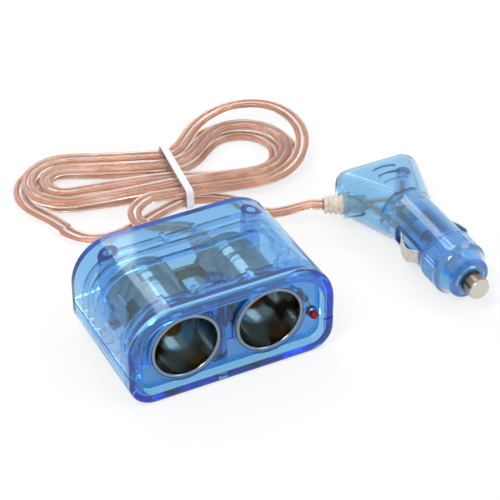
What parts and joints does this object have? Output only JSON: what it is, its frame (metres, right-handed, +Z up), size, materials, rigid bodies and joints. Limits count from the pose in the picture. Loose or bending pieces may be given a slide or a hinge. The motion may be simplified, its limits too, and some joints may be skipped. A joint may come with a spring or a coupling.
{
  "type": "car power socket splitter",
  "caption": "Clear blue housing with two vehicle accessory sockets and an indicator lamp, on a tied figure-8 lead with a fused, knurled accessory plug.",
  "frame": {"origin": "middle of the housing's underside, on the surface it stands on", "axes": "+X along the row of sockets to the right, +Y to the rear where the cord leaves, +Z up"},
  "size_m": [0.137, 0.1444, 0.0346],
  "materials": {
    "clear_blue": "clear",
    "nickel": "plated",
    "brass": "plain",
    "zinc": "plated",
    "red_lens": "clear",
    "resistor_body": "lacquered",
    "tinned_wire": "plain",
    "copper_cord": "clear over copper",
    "white_nylon": "plain",
    "beige_vinyl": "plain",
    "fuse_tube": "clear"
  },
  "bodies": {
    "splitter": {"upper_shell": "clear_blue", "lower_shell": "clear_blue", "front_panel": "clear_blue", "left_socket": "nickel", "right_socket": "nickel", "left_socket_base": "clear_blue", "right_socket_base": "clear_blue", "left_centre_contact": "brass", "right_centre_contact": "brass", "positive_strap": "brass", "ground_strap": "zinc", "indicator_lamp": "red_lens", "lamp_resistor": "resistor_body", "lamp_leads": "tinned_wire", "live_lead": "copper_cord", "ground_lead": "copper_cord", "housing_screws": "zinc", "cord_grommet": "beige_vinyl", "cord_to_housing": "copper_cord", "cord_hank": "copper_cord", "cord_to_plug": "copper_cord", "cable_tie": "white_nylon", "plug_upper_shell": "clear_blue", "plug_lower_shell": "clear_blue", "fuse_spring": "zinc", "spring_terminal": "brass", "contact_bridge": "nickel", "plug_live_lead": "copper_cord", "plug_ground_lead": "copper_cord", "plug_relief": "beige_vinyl", "plug_screw": "zinc"},
    "contact_pin": {"plug_tip": "nickel", "fuse_glass": "fuse_tube", "fuse_caps": "nickel"},
    "left_contact": {"left_side_contact": "nickel"},
    "right_contact": {"right_side_contact": "nickel"},
    "nut": {"nose_nut": "clear_blue"}
  },
  "joints": [
    {"name": "pin_slide", "type": "slide", "parent": "splitter", "child": "contact_pin", "axis": [0, 1, 0], "range_m": [0, 0.003], "stiffness_N_per_m": 800, "springref_m": -0.003, "deforming": ["fuse_spring"]},
    {"name": "left_contact_flex", "type": "hinge", "parent": "splitter", "child": "left_contact", "pos_m": [0.07965, 0.0134, 0.0099], "axis": [0, 0, 1], "range_deg": [0, 8], "stiffness_Nm_per_rad": 0.47},
    {"name": "right_contact_flex", "type": "hinge", "parent": "splitter", "child": "right_contact", "pos_m": [0.09235, 0.0134, 0.0099], "axis": [0, 0, -1], "range_deg": [0, 8], "stiffness_Nm_per_rad": 0.47},
    {"name": "nut_turn", "type": "hinge", "parent": "splitter", "child": "nut", "pos_m": [0.086, -0.009, 0.0099], "axis": [0, -1, 0], "range_deg": [0, 720]}
  ]
}
